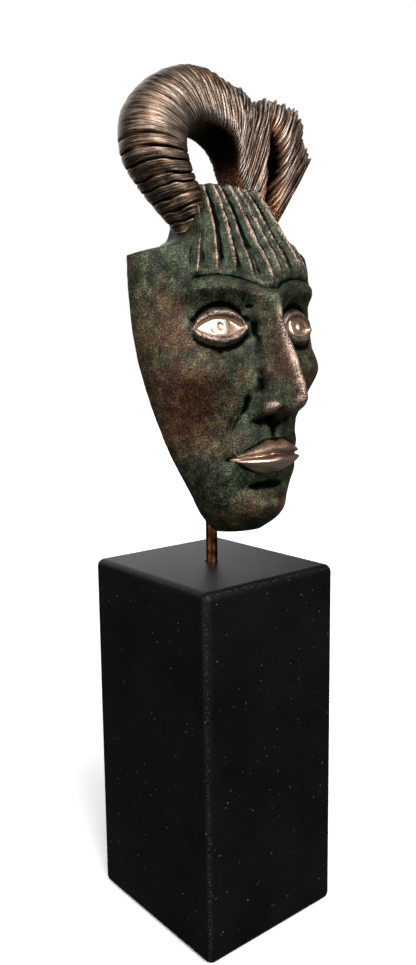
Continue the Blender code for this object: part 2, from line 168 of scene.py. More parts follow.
# Crest stations from the near root over the hole to the torn end, in modules of the mask's plane:
# inner x, inner height, outer x, outer height, inner and outer half thickness, forward shift
CREST_STATIONS = (
    (-16, 134, -26, 131, 5.5, 5.5, 12),
    (-16, 147, -28.5, 140.5, 7.5, 7.5, 10),
    (-18.5, 158, -35.5, 151.5, 12, 11.5, 8),
    (-22.5, 167, -43.5, 163, 14.5, 14, 6),
    (-24.5, 176, -51.5, 177, 15.3, 15, 5),
    (-23.5, 184, -50.5, 195, 15.3, 15, 4.5),
    (-18.5, 189.5, -39, 209.5, 15.3, 14.5, 4),
    (-10.5, 191, -23, 218.4, 15, 13.5, 4),
    (-3, 189.5, -7.5, 221, 15, 11, 4),
    (3, 185.5, 6, 217.5, 15, 8.5, 4.5),
    (6, 179.5, 18.4, 215.4, 13.5, 6.5, 4),
    (8, 172, 28.4, 212, 11.5, 5.5, 2.5),
    (10.5, 162, 37.2, 213.6, 10, 5, 3),
    (14, 155, 49, 213, 8.5, 4.5, 3.5),
    (18, 151, 60, 209.5, 8, 4.5, 4),
    (21.5, 148.5, 61.5, 198, 7.5, 4, 5),
    (25, 146, 64.5, 187.5, 6.5, 3.5, 5),
    (28, 143, 61, 182, 5, 2.2, 4.5),
)
LAST_STATION = len(CREST_STATIONS) - 1
# Powers that shape the section: 1 is an ellipse, less is boxier
BOXY_INSIDE, ROUND_OUTSIDE = 0.55, 0.95
# The torn edge starts and is full at these stations
TEAR_START, TEAR_FULL = 8, 11
# The pocket in the torn side: its middle and half length in stations, its place and half width across,
# how many stations it slants over half the section, and its depth
POCKET = {"station": 14.35, "length": 0.75, "across": -0.28, "width": 0.72, "slant": 1.7, "depth": 10}
# Heights of the broad ridges, and of the thin ones that lie over them, at stations
RIDGES_PER_STATION = 2.6
RIDGE_HEIGHTS = ((0, 0.2), (3, 0.2), (5, 0.2), (8, 0.4), (10, 1.0), (17, 1.0))
STRAW_PER_STATION, STRAW_WANDER = 5.2, 0.45
STRAW_HEIGHTS = ((0, 0.15), (3, 0.15), (6, 0.25), (8, 0.8), (9.5, 1.9), (17, 2.2))
# Deep creases across the horn's lower half: station and depth
CREASES = ((0.55, 0.7), (0.95, 1.2), (1.45, 1.4), (1.85, 0.9), (2.3, 1.5), (2.75, 1.2), (3.1, 1.5),
           (3.6, 1.2), (4.0, 1.3), (4.35, 0.7))
CREASE_WIDTH = 0.04
# Reach of the torn edge's long waves, short waves and splinters
TEAR_COARSE, TEAR_FINE, TEAR_SPLINTERS = 0.65, 0.45, 1.2
# Bites out of the torn edge and points on it: station, width in stations and reach outward
TEAR_MARKS = ((11.05, 0.22, -2.2), (15.0, 0.25, -2.4), (15.75, 0.1, -1.6), (16.15, 0.12, 2.6))

# Sizes of the cast skin's swellings, grain and pits, in modules, and the reliefs that go with them
SWELLING, GRAIN, PIT = 6.5, 1.6, 3.4
SWELLING_RELIEF, GRAIN_RELIEF, PIT_RELIEF = 0.16, 0.09, 0.45
# The same for the rougher inner wall, which also steps in at the hairline
HOLLOW_SWELLING, HOLLOW_RELIEF, HAIRLINE_STEP = 5, 0.5, 1.5

# Rounds of softening that give the skin against which a place stands out: for thin ridges, for
# forms such as lids, for whole features, and for the crest's ridges
THIN_ROUNDS, FORM_ROUNDS, FEATURE_ROUNDS = 4, 16, 90
CREST_ROUNDS = 10

# Streaks of the crest's colour: how many noise cells to a station and across the section
STREAKS_ALONG, STREAKS_ACROSS = 24, 1.1

# Studio: name, way of the light, strength and spread in degrees
LAMPS = (
    ("key", (0.35, 0.75, -0.75), 2.7, 25),
    ("left", (1.0, 0.05, -0.25), 2.2, 60),
    ("right", (0.0, 1.0, -0.35), 3.0, 35),
    ("top", (0.1, 0.3, -1.0), 1.3, 60),
    ("back", (-0.3, -1.0, -0.45), 1.2, 60),
)
# The white wall as the camera sees it, and the light that it gives
WALL_SEEN, WALL_GIVEN = 1.0, 0.09
FLOOR_RADIUS = 12
# The camera's place, turn about Z, rise above looking straight down, roll, and lens in millimetres
CAMERA_PLACE = (-0.2774, -0.3372, 0.2953)
CAMERA_TURN, CAMERA_RISE, CAMERA_ROLL = [math.radians(angle) for angle in (-39.24, 90 - 8.75, -0.70)]
CAMERA_LENS, CAMERA_SENSOR = 31.98, 36


def along(stations, at, column=1):
    """A smooth curve through the stations (place, value, ...), read at the places given."""
    table = np.array(stations, float)
    places, values = table[:, 0], table[:, column]
    slopes = np.gradient(values, places)
    at = np.clip(at, places[0], places[-1])
    left = np.clip(np.searchsorted(places, at, side="right") - 1, 0, len(places) - 2)
    span = places[left + 1] - places[left]
    t = (at - places[left]) / span
    return (values[left] * (1 + 2 * t) * (1 - t) ** 2 + values[left + 1] * t * t * (3 - 2 * t)
            + slopes[left] * span * t * (1 - t) ** 2 - slopes[left + 1] * span * t * t * (1 - t))


def bell(value, centre, width):
    """1 at the centre, falling smoothly to 0 on both sides."""
    return np.exp(-(((value - centre) / width) ** 2))


def rise(start, end, value):
    """0 before start, 1 after end, smooth between."""
    t = np.clip((value - start) / (end - start), 0, 1)
    return t * t * (3 - 2 * t)


def unevenness(points, size, seed):
    """Smooth random unevenness from -1 to 1, with swellings of about the size given."""
    side = 32
    lattice = np.random.default_rng(seed).uniform(-1, 1, (side, side, side))
    place = np.asarray(points) / size
    cell = np.floor(place).astype(int)
    t = place - cell
    t = t * t * (3 - 2 * t)
    total = 0
    for corner in np.ndindex(2, 2, 2):
        index = (cell + corner) % side
        weight = np.prod(np.where(corner, t, 1 - t), axis=-1)
        total = total + weight * lattice[index[..., 0], index[..., 1], index[..., 2]]
    return total


def soft_forms(forms, side, height):
    """The relief of a table of soft forms."""
    relief = 0
    for at_side, at_height, half_width, half_height, amount in forms.values():
        relief = relief + amount * bell(side, at_side, half_width) * bell(height, at_height, half_height)
    return relief


def brow_line(side):
    """Height of the brow's ridge."""
    return BROW_HEIGHT - 2 + 6 * np.sin(np.pi * np.clip((side - 4) / 50, 0, 1) ** 0.85)


def brow_carving(side, height):
    """The brow's ridge: soft above, sharper below."""
    brow = rise(0, 12, side) * rise(51, 30, side)
    above = height - brow_line(side)
    return 3.2 * brow * bell(above, 0, np.where(above > 0, 7.0, 3.6))


def eye_opening(side, height):
    """1 between the lids of an eye, 0 outside them."""
    e, k = side - EYE_OFFSET, height - EYE_HEIGHT
    almond = np.clip(1 - (e / EYE_HALF) ** 2, 0, 1)
    upper, lower = UPPER_LID * almond**0.75, -LOWER_LID * almond
    return rise(-0.5, 0.5, upper - k) * rise(-0.5, 0.5, k - lower) * rise(0, 0.06, almond)


def eye_carving(side, height):
    """Lids and iris of one eye; side is the distance from the middle line."""
    e, k = side - EYE_OFFSET, height - EYE_HEIGHT
    almond = np.clip(1 - (e / EYE_HALF) ** 2, 0, 1)
    upper, lower = UPPER_LID * almond**0.75, -LOWER_LID * almond
    roll = 0.7 + 1.6 * almond**0.5
    near = rise(4, -2, np.abs(e) - EYE_HALF)
    relief = near * (2.1 * bell(k, upper + roll, 1.9) + 1.3 * bell(k, lower - roll, 1.7))
    relief -= near * (1.5 * bell(k, upper + roll + 3.6, 1.3) + 0.9 * bell(k, lower - roll - 4, 2.0))
    relief += near * 0.7 * bell(k, lower - roll - 9, 3.4)
    centre = np.hypot(e, k - 0.9)
    iris = 0.5 * rise(IRIS + 0.3, IRIS - 0.2, centre) - 1.1 * rise(PUPIL + 0.3, PUPIL - 0.4, centre)
    return relief + eye_opening(side, height) * (iris - 1.6)


def nose_carving(side, height):
    """Ridge, wings and the broad root of the nose."""
    relief = along(NOSE_PROFILE, height) * np.exp(-((side / along(NOSE_WIDTHS, height)) ** 2.2))
    wing = bell(side, 9.0, 3.7) * bell(height, 59.5, 5.0) * rise(52.5, 56, height)
    cleft = bell(side, 5.4, 1.5) * bell(height, 59, 4.2)
    start, full, thin, end = NOSE_ROOT
    root = bell(side, 0, 15) * rise(start, full, height) * rise(end, thin, height)
    return relief + 7.6 * wing - 1.1 * cleft + 3 * root


def lip_lines(side):
    """Heights of the lips' top, parting and bottom."""
    share = np.clip(side / MOUTH_HALF, 0, 1)
    line = MOUTH_HEIGHT - 0.9 * share**2 + 0.5 * bell(side, 0, 3)
    bow = 0.7 * bell(side, 5, 2.6) - bell(side, 0, 2.4)
    top = line + UPPER_LIP * (1 - share**1.9) + bow + 0.05
    bottom = line - LOWER_LIP * (1 - share**2.2) - 0.05
    return top, line, bottom


def lip_cover(side, height):
    """1 on the lips, 0 off them."""
    top, _, bottom = lip_lines(side)
    between = rise(-0.4, 0.6, top - height) * rise(-0.4, 0.6, height - bottom)
    return between * rise(1.02, 0.96, side / MOUTH_HALF)


def lip_carving(side, height):
    """The two lips and the parting between them."""
    top, line, bottom = lip_lines(side)
    upper = np.clip((height - line) / (top - line), 0, 1)
    lower = np.clip((line - height) / (line - bottom), 0, 1)
    relief = 3.6 * np.sin(np.pi * upper**0.8) ** 0.8 + 4.8 * np.sin(np.pi * lower**0.75) ** 0.8
    relief = relief * np.clip(1 - (side / MOUTH_HALF) ** 2, 0, 1) ** 0.4
    return relief - 2.2 * bell(height, line, 0.9) * rise(1.12, 0.9, side / MOUTH_HALF)


def crease_carving(side, height):
    """The fold from the nose's wing to the mouth's corner."""
    top_side, top_height = CREASE_TOP
    slant = top_side + 0.5 * (top_height - height)
    return -1.7 * bell(side, slant, 2.8) * bell(height, top_height - 10, 10)


def hair_places(x, height):
    """The place across the locks, the nearest lock, and how far the hair has grown above its tips."""
    sway = LOCK_SWAY * np.sin((height - LOCK_SPACING[0][0]) / 15)
    place = (x - sway) / along(LOCK_SPACING, height)
    lock = np.clip(np.round(place), -SIDE_LOCKS, SIDE_LOCKS)
    cover = rise(SIDE_LOCKS + 0.9, SIDE_LOCKS + 0.25, np.abs(place))
    start = brow_line(np.abs(x)) + TIP_GAP
    return place, lock, cover, start


def hair_carving(x, height):
    """Raised locks that fan down the forehead and stop above the brow, with fine strands on them."""
    place, lock, cover, start = hair_places(x, height)
    grown = rise(0, TIP_LENGTH, height - start)
    edge = 1.5 * bell(height, start, 1.7) * rise(42, 34, np.abs(x))
    across = place - lock
    blade = 0.75 * rise(-0.5, 0, across) * rise(0.34, 0, across) + 0.4 * np.exp(-np.abs(across) / 0.06)
    strands = STRAND_RELIEF * np.sin(2 * np.pi * (place * STRANDS_PER_LOCK + 0.3 * np.sin(height / 7 + lock)))
    strands = strands * rise(0.1, 0.25, np.abs(across))
    full = 0.85 + 0.3 * np.sin(lock * 2.4 + 0.6)
    return grown * cover * (LOCK_RELIEF * full * blade - GROOVE_DEPTH + strands) - edge


def shell_base(u, v, wall=0.0, crown=0.0):
    """The plain shell in modules, or its hollow one wall further in.

    u runs across from -1 to 1 and v up from 0 to 1. It gives x, depth in front of the open
    back, height, the outward direction in x and depth, and how much carving is let through.
    """
    s = np.sin(u * np.pi / 2)
    curve = np.clip(1 - np.abs(s) ** SECTION_POWER, 0, 1) ** (1 / SECTION_POWER)
    top = along(CROWN_LINE, np.abs(s) * TEMPLE)
    body = np.clip((v - FLOOR_SHARE) / (CROWN_SHARE - FLOOR_SHARE), 0, 1)
    level = LEVEL_HEIGHT - crown
    height = wall + (level - wall) * np.clip(body / LEVEL_SHARE, 0, 1)
    height = height + (top - LEVEL_HEIGHT) * np.clip((body - LEVEL_SHARE) / (1 - LEVEL_SHARE), 0, 1)
    closing = np.clip((v - CROWN_SHARE) / (1 - CROWN_SHARE), 0, 1)
    opening = np.clip(1 - v / FLOOR_SHARE, 0, 1)
    height = height + CROWN_LIP * np.sin(np.clip(closing / CROWN_LIP_SHARE, 0, 1) * np.pi / 2) * curve
    half, deep = along(HALF_WIDTHS, height), along(DEPTHS, height)
    depth = (deep - wall) * curve * (1 - closing) * (1 - (1 - RIM_KEEP) * opening)
    out_x = np.sign(s) * np.abs(s) ** (SECTION_POWER - 1) / half
    out_depth = curve ** (SECTION_POWER - 1) / deep
    size = np.hypot(out_x, out_depth)
    carved = (1 - rise(0.0, 0.6, closing)) * (1 - rise(0.2, 1.0, opening)) * rise(0, 0.35, curve)
    return (half - wall) * s, depth, height, out_x / size, out_depth / size, carved


def casting_texture(points):
    """The skin of a sand casting: soft unevenness, grain and a few small pits, in modules."""
    soft = SWELLING_RELIEF * unevenness(points, SWELLING, 3) + GRAIN_RELIEF * unevenness(points, GRAIN, 4)
    pits = rise(0.62, 0.85, unevenness(points, PIT, 5)) * rise(-0.2, 0.4, unevenness(points, 30, 6))
    return soft - PIT_RELIEF * pits


def outer_point(u, v):
    """A point of the mask's front in modules."""
    x, depth, height, out_x, out_depth, carved = shell_base(u, v)
    side = np.abs(x)
    relief = soft_forms(FACE_FORMS, side, height) + brow_carving(side, height)
    relief += eye_carving(side, height) + nose_carving(side, height)
    relief += lip_carving(side, height) + crease_carving(side, height)
    relief = (relief + hair_carving(x, height)) * carved
    smooth = np.maximum(eye_opening(side, height), lip_cover(side, height))
    texture = casting_texture(np.stack((x, depth, height), axis=-1))
    relief = relief + texture * (1 - 0.9 * smooth) * rise(0, 0.2, carved + 0.3)
    return x + out_x * relief, depth + out_depth * relief, height


def hollow_point(u, v):
    """A point of the inner wall in modules: only the broad forms are pressed into it."""
    x, depth, height, out_x, out_depth, carved = shell_base(u, v, MASK_WALL / MODULE, CROWN_WALL / MODULE)
    relief = soft_forms(HOLLOW_FORMS, np.abs(x), height)
    relief = relief - HAIRLINE_STEP * rise(LEVEL_HEIGHT - 8, LEVEL_HEIGHT - 2, height)
    rough = unevenness(np.stack((x, depth, height), axis=-1), HOLLOW_SWELLING, 8)
    relief = relief + HOLLOW_RELIEF * rough
    relief = relief * carved
    return x + out_x * relief, depth + out_depth * relief, height


def crest_ridges(step):
    """Broad ridges that cross the crest, uneven in width."""
    phase = step * RIDGES_PER_STATION
    drift = 0.35 * np.sin(step * 1.9) + 0.25 * np.sin(step * 4.3 + 1)
    wave = 0.5 - np.abs(np.sin(np.pi * (phase + drift))) ** 0.8
    return wave * along(RIDGE_HEIGHTS, step)


def crest_straw(step, turn):
    """Thin sharp ridges like straw, which wander, merge and end part of the way across."""
    ring = np.stack((step * 2.2, 2.5 * np.cos(turn), 2.5 * np.sin(turn)), axis=-1)
    wander = STRAW_WANDER * unevenness(ring, 1.7, 11)
    phase = step * STRAW_PER_STATION + wander
    grooved = np.abs(np.sin(np.pi * phase)) ** 0.55 - 0.7
    share = 0.8 + 0.7 * unevenness(ring * 2.6, 1.0, 12)
    return grooved * np.clip(share, 0.2, 1.5) * along(STRAW_HEIGHTS, step)


def crest_creases(step, turn):
    """Deep narrow cracks round the horn's lower half, which bend and end here and there."""
    ring = np.stack((2.0 * np.cos(turn), 2.0 * np.sin(turn), step), axis=-1)
    bent = step + 0.07 * unevenness(ring, 1.0, 14)
    cut = 0
    for number, (station, depth) in enumerate(CREASES):
        patch = np.clip(0.75 + 0.9 * unevenness(ring + number * 3, 1.3, 15), 0.05, 1)
        cut = cut + depth * patch * bell(bent, station, CREASE_WIDTH)
    return -cut


def section(turn):
    """The crest's cross section, boxy towards the hole and round outside.

    It gives each place's share of the way outward and of the way forward, both from -1 to 1.
    """
    c, s = np.cos(turn), np.sin(turn)
    power = np.where(c < 0, BOXY_INSIDE, ROUND_OUTSIDE)
    return np.sign(c) * np.abs(c) ** power, np.sign(s) * np.abs(s) ** power


def in_pocket(step, c, s):
    """How deep a place lies in the slanting pocket of the torn side, from 0 to 1."""
    across = (c - POCKET["across"]) / POCKET["width"]
    length = (step - POCKET["station"] + POCKET["slant"] * (c - POCKET["across"])) / POCKET["length"]
    return np.exp(-((length**2 + across**2) ** 1.8)) * rise(0.1, 0.7, s)


def crest_tables(step):
    """The columns of CREST_STATIONS between the stations."""
    table = [(i, *row) for i, row in enumerate(CREST_STATIONS)]
    return [along(table, step, column) for column in range(1, 8)]


def crest_point(step, turn):
    """A point of the crest's skin in modules: step is the station, turn goes round the section.

    At a turn of 0 the point is on the crest's outer edge.
    """
    inner_x, inner_h, outer_x, outer_h, thick_in, thick_out, shift = crest_tables(step)
    c, s = section(turn)
    reach_x, reach_h = (outer_x - inner_x) / 2, (outer_h - inner_h) / 2
    fine = crest_straw(step, turn) + crest_creases(step, turn)
    hollowed = in_pocket(step, c, s)
    ridge = crest_ridges(step) * rise(-1.0, -0.4, c) + fine * rise(-1.05, -0.75, c)
    ridge = ridge * (1 - 0.85 * hollowed)
    tear = TEAR_COARSE * np.sin(step * 9.7) + TEAR_FINE * np.sin(step * 23.1 + 2)
    tear = tear + TEAR_SPLINTERS * unevenness(np.stack((step * 7, step * 0, step * 0), axis=-1), 1, 16)
    tear = tear + sum(reach * bell(step, station, width) for station, width, reach in TEAR_MARKS)
    tear = tear * rise(TEAR_START, TEAR_FULL, step) * rise(0.6, 1, c)
    grow = 1 + (ridge + tear) / np.hypot(reach_x, reach_h)
    thick = thick_in + (thick_out - thick_in) * (c + 1) / 2
    pocket = POCKET["depth"] * hollowed
    x = (inner_x + outer_x) / 2 + reach_x * c * grow
    height = (inner_h + outer_h) / 2 + reach_h * c * grow
    return x, shift + (thick + ridge) * s - pocket, height


def mask_matrix():
    """The mask's place: its own origin is the chin's lowest point in the plane of the open back."""
    return Matrix.Translation((0, -CHIN_FORWARD, MASK_LOW.z)) @ Matrix.Rotation(-MASK_TILT, 4, "X")


def set_points(verts, x, depth, height):
    """Moves vertices to points given in modules, depth being forward of the open back."""
    place = mask_matrix()
    for vert, a, b, c in zip(verts, x * SIDE_MODULE, depth * MODULE, height * MODULE):
        vert.co = place @ Vector((a, -b, c))


def grid_places(verts):
    """The two places, each 0 to 1, of a fresh grid's vertices."""
    return tuple((np.array([vert.co[axis] for vert in verts]) + 1) / 2 for axis in (0, 1))


def new_form(*layers):
    """An empty bmesh whose vertices carry the numbers that a finish reads, such as how much a ridge is
    lightened by rubbing and painted highlight.
    """
    bm = bmesh.new()
    for name in layers:
        bm.verts.layers.float.new(name)
    return bm


def set_layer(bm, verts, name, values):
    """Writes one number per vertex for the finish to read."""
    layer = bm.verts.layers.float[name]
    for vert, value in zip(verts, values):
        vert[layer] = float(value)


def blurred(field, rounds, wrap):
    """A grid's field softened over its neighbours; wrap closes the second axis on itself."""
    for _ in range(rounds):
        for axis in (0, 1):
            mode = "wrap" if wrap and axis == 1 else "edge"
            pad = [(0, 0)] * field.ndim
            pad[axis] = (1, 1)
            wide = np.pad(field, pad, mode=mode)
            size = field.shape[axis]
            before = np.take(wide, range(0, size), axis)
            after = np.take(wide, range(2, size + 2), axis)
            field = field / 2 + (before + after) / 4
    return field


def standing_out(points, rounds, wrap=False):
    """How far each point of a grid stands out of the skin round it: above 0 on ridges, below in grooves."""
    soft = blurred(points, rounds, wrap)
    normal = np.cross(np.gradient(soft, axis=1), np.gradient(soft, axis=0))
    normal /= np.linalg.norm(normal, axis=-1, keepdims=True) + 1e-12
    return ((points - soft) * normal).sum(axis=-1)


def finish_piece(name, bm, material, node):
    """Makes the piece, with its finish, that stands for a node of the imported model."""
    mesh = bpy.data.meshes.new(name)
    bm.to_mesh(mesh)
    bm.free()
    mesh.shade_smooth()
    mesh.materials.append(material)
    piece = bpy.data.objects.new(name, mesh)
    bpy.context.scene.collection.objects.link(piece)
    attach(piece, "root")
    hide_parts(node)
    return piece


def add_node(tree, kind, inputs=None, stops=None, **settings):
    """Adds a node, sets it up and links or sets its inputs."""
    made = tree.nodes.new(kind)
    for name, value in settings.items():
        setattr(made, name, value)
    for name, value in (inputs or {}).items():
        if isinstance(value, bpy.types.NodeSocket):
            tree.links.new(value, made.inputs[name])
        else:
            made.inputs[name].default_value = value
    if stops:
        ramp = made.color_ramp.elements
        while len(ramp) < len(stops):
            ramp.new(1)
        for element, (position, colour) in zip(ramp, stops):
            element.position = position
            element.color = colour
    return made


def paint(hex_colour):
    """A colour as the eye sees it (sRGB hex) in the linear values that shaders use."""
    parts = [int(hex_colour[i:i + 2], 16) / 255 for i in (1, 3, 5)]
    return (*[p / 12.92 if p <= 0.04045 else ((p + 0.055) / 1.055) ** 2.4 for p in parts], 1)


def per_mm(millimetres):
    """A pattern's scale from the size of its marks."""
    return 1000 / millimetres


def new_finish(name):
    """A new material with its node tree, its shader and the place on the piece."""
    material = bpy.data.materials.new(name)
    material.use_nodes = True
    tree = material.node_tree
    shader = tree.nodes["Principled BSDF"]
    place = add_node(tree, "ShaderNodeTexCoord").outputs["Object"]
    return material, tree, shader, place


def patinated_cast_bronze():
    """Sand-cast bronze under a waxed, nearly black green patina: grainy and mottled, brown where hands wore
    it, silvery along what stands out (partly rubbing, partly painted highlight), blue-green in a few folds
    with painted near-black shade in the deeper ones, and eyes and lips polished, with a pale painted
    highlight on the eyes and the lower lip."""
    material, tree, shader, place = new_finish("patinated_cast_bronze")
    rubbed_and_painted_highlight, patina_and_painted_shade, polish_and_painted_highlight, brown = [
        add_node(tree, "ShaderNodeAttribute", attribute_name=layer).outputs["Fac"]
        for layer in ("rubbed_and_painted_highlight", "patina_and_painted_shade", "polish_and_painted_highlight", "brown")]
    cloud, speck, stain = [
        add_node(tree, "ShaderNodeTexNoise", {"Vector": place, "Scale": per_mm(size), "Detail": detail,
                                              "Roughness": roughness}).outputs["Fac"]
        for size, detail, roughness in ((6, 5.0, 0.65), (0.7, 3.0, 0.7), (16, 6.0, 0.65))]
    half = add_node(tree, "ShaderNodeMix", {0: 0.6, 2: cloud, 3: speck}).outputs[0]
    green = add_node(tree, "ShaderNodeValToRGB", {0: half}, stops=(
        (0.36, paint("#040503")), (0.47, paint("#161a11")),
        (0.56, paint("#3b432e")), (0.69, paint("#7c8866")),
    )).outputs[0]
    bronze = add_node(tree, "ShaderNodeValToRGB", {0: half}, stops=(
        (0.38, paint("#140b06")), (0.5, paint("#40271a")), (0.64, paint("#85573b")),
    )).outputs[0]
    teal = add_node(tree, "ShaderNodeMapRange", {"Value": stain, 1: 0.54, 2: 0.7}).outputs[0]
    teal = add_node(tree, "ShaderNodeMath", {0: teal, 1: patina_and_painted_shade}, operation="MULTIPLY").outputs[0]
    warm = add_node(tree, "ShaderNodeMath", {0: stain, 1: brown}, operation="ADD").outputs[0]
    warm = add_node(tree, "ShaderNodeMapRange", {"Value": warm, 1: 0.56, 2: 0.95, 4: 0.9}).outputs[0]
    # Painted near-black shade in the deeper folds, over their blue-green patina
    depth = add_node(tree, "ShaderNodeMapRange", {"Value": patina_and_painted_shade, 1: 0.35, 2: 1.0}).outputs[0]
    # Silvery ridges: partly rubbing, partly painted highlight
    broken = add_node(tree, "ShaderNodeMapRange", {"Value": half, 1: 0.44, 2: 0.56}).outputs[0]
    wear_and_painted_highlight = add_node(tree, "ShaderNodeMath", {0: rubbed_and_painted_highlight, 1: broken}, operation="MULTIPLY").outputs[0]
    colour = green
    for share, coat in ((teal, paint("#3f6e62")), (warm, bronze), (depth, paint("#030403")),
                        # The pale polished coat is partly real polishing and partly a painted highlight
                        (wear_and_painted_highlight, paint("#ad9184")), (polish_and_painted_highlight, paint("#e6c8b0"))):
        colour = add_node(tree, "ShaderNodeMix", {0: share, 6: colour, 7: coat}, data_type="RGBA").outputs[2]
    tree.links.new(colour, shader.inputs["Base Color"])
    bare = add_node(tree, "ShaderNodeMath", {0: wear_and_painted_highlight, 1: polish_and_painted_highlight}, operation="MAXIMUM").outputs[0]
    metal = add_node(tree, "ShaderNodeMath", {0: bare, 1: depth}, operation="MAXIMUM").outputs[0]
    metal = add_node(tree, "ShaderNodeMapRange", {"Value": metal, 3: 0.6, 4: 1.0}).outputs[0]
    tree.links.new(metal, shader.inputs["Metallic"])
    gloss = add_node(tree, "ShaderNodeMapRange", {"Value": speck, 1: 0.3, 2: 0.7,
                                                  3: 0.36, 4: 0.56}).outputs[0]
    gloss = add_node(tree, "ShaderNodeMix", {0: bare, 2: gloss, 3: 0.3}).outputs[0]
    tree.links.new(gloss, shader.inputs["Roughness"])
    shader.inputs["Specular IOR Level"].default_value = 0.35
    strength = add_node(tree, "ShaderNodeMapRange", {"Value": polish_and_painted_highlight, 3: 0.7, 4: 0.05}).outputs[0]
    grain = add_node(tree, "ShaderNodeBump", {"Height": half, "Strength": strength,
                                              "Distance": 0.0009}).outputs[0]
    tree.links.new(grain, shader.inputs["Normal"])
    return material


def brown_cast_bronze():
    """Dark brown bronze of the crest: painted black shade in its cracks, the pocket's top and the hole, with
    a painted copper highlight low on the hole's wall; streaked along its ridges and silvery on them, partly
    rubbing and partly painted highlight; copper-red where the rough casting shows in the pocket."""
    material, tree, shader, place = new_finish("brown_cast_bronze")
    rubbed_and_painted_highlight, patina_and_painted_shade, copper, pale = [
        add_node(tree, "ShaderNodeAttribute", attribute_name=layer).outputs["Fac"]
        for layer in ("rubbed_and_painted_highlight", "patina_and_painted_shade", "copper", "pale")]
    straw = add_node(tree, "ShaderNodeAttribute", attribute_name="straw").outputs["Vector"]
    streak, cloud, speck = [
        add_node(tree, "ShaderNodeTexNoise", {"Vector": vector, "Scale": scale, "Detail": detail,
                                              "Roughness": roughness}).outputs["Fac"]
        for vector, scale, detail, roughness in ((straw, 1.0, 4.0, 0.6), (place, per_mm(8), 4.0, 0.6),
                                                 (place, per_mm(0.8), 3.0, 0.7))]
    mixed = add_node(tree, "ShaderNodeMix", {0: 0.5, 2: cloud, 3: streak}).outputs[0]
    brown = add_node(tree, "ShaderNodeValToRGB", {0: mixed}, stops=(
        (0.38, paint("#120a06")), (0.5, paint("#46311f")), (0.64, paint("#7d6046")),
    )).outputs[0]
    raw = add_node(tree, "ShaderNodeValToRGB", {0: speck}, stops=(
        (0.4, paint("#2a1509")), (0.52, paint("#8a5a3c")), (0.64, paint("#d6a06f")),
    )).outputs[0]
    # Silvery ridges: partly rubbing, partly painted highlight
    broken = add_node(tree, "ShaderNodeMapRange", {"Value": streak, 1: 0.42, 2: 0.6}).outputs[0]
    wear_and_painted_highlight = add_node(tree, "ShaderNodeMath", {0: rubbed_and_painted_highlight, 1: broken}, operation="MULTIPLY").outputs[0]
    colour = brown
    # The copper coat shows the pocket's rough casting and the painted highlight on the hole's wall
    for share, coat in ((wear_and_painted_highlight, paint("#b9aba1")), (pale, paint("#a37c56")), (copper, raw),
                        # painted near-black shade in the cracks, the pocket's top and the hole
                        (patina_and_painted_shade, paint("#020101"))):
        colour = add_node(tree, "ShaderNodeMix", {0: share, 6: colour, 7: coat}, data_type="RGBA").outputs[2]
    tree.links.new(colour, shader.inputs["Base Color"])
    shader.inputs["Metallic"].default_value = 1.0
    gloss = add_node(tree, "ShaderNodeMapRange", {"Value": speck, 1: 0.3, 2: 0.7,
                                                  3: 0.3, 4: 0.48}).outputs[0]
    gloss = add_node(tree, "ShaderNodeMix", {0: patina_and_painted_shade, 2: gloss, 3: 0.7}).outputs[0]
    tree.links.new(gloss, shader.inputs["Roughness"])
    shader.inputs["Specular IOR Level"].default_value = 0.35
    rough = add_node(tree, "ShaderNodeMix", {0: 0.35, 2: streak, 3: speck}).outputs[0]
    grain = add_node(tree, "ShaderNodeBump", {"Height": rough, "Strength": 0.6,
                                              "Distance": 0.0007}).outputs[0]
    tree.links.new(grain, shader.inputs["Normal"])
    return material


def drawn_copper_rod():
    """Drawn copper-coloured rod: reddish brown, darkened by handling, with faint lines along it."""
    material, tree, shader, place = new_finish("drawn_copper_rod")
    drawn = add_node(tree, "ShaderNodeMapping", {"Vector": place, "Scale": (1, 1, 0.04)}).outputs[0]
    lines, cloud = [
        add_node(tree, "ShaderNodeTexNoise", {"Vector": vector, "Scale": per_mm(size),
                                              "Detail": detail}).outputs["Fac"]
        for vector, size, detail in ((drawn, 0.7, 2.0), (place, 7, 4.0))]
    colour = add_node(tree, "ShaderNodeValToRGB", {0: cloud}, stops=(
        (0.4, paint("#24120a")), (0.52, paint("#5a3521")), (0.62, paint("#8f5a3c")),
    )).outputs[0]
    tree.links.new(colour, shader.inputs["Base Color"])
    shader.inputs["Metallic"].default_value = 1.0
    gloss = add_node(tree, "ShaderNodeMapRange", {"Value": lines, 1: 0.3, 2: 0.7,
                                                  3: 0.22, 4: 0.42}).outputs[0]
    tree.links.new(gloss, shader.inputs["Roughness"])
    grain = add_node(tree, "ShaderNodeBump", {"Height": lines, "Strength": 0.2,
                                              "Distance": 0.0002}).outputs[0]
    tree.links.new(grain, shader.inputs["Normal"])
    return material


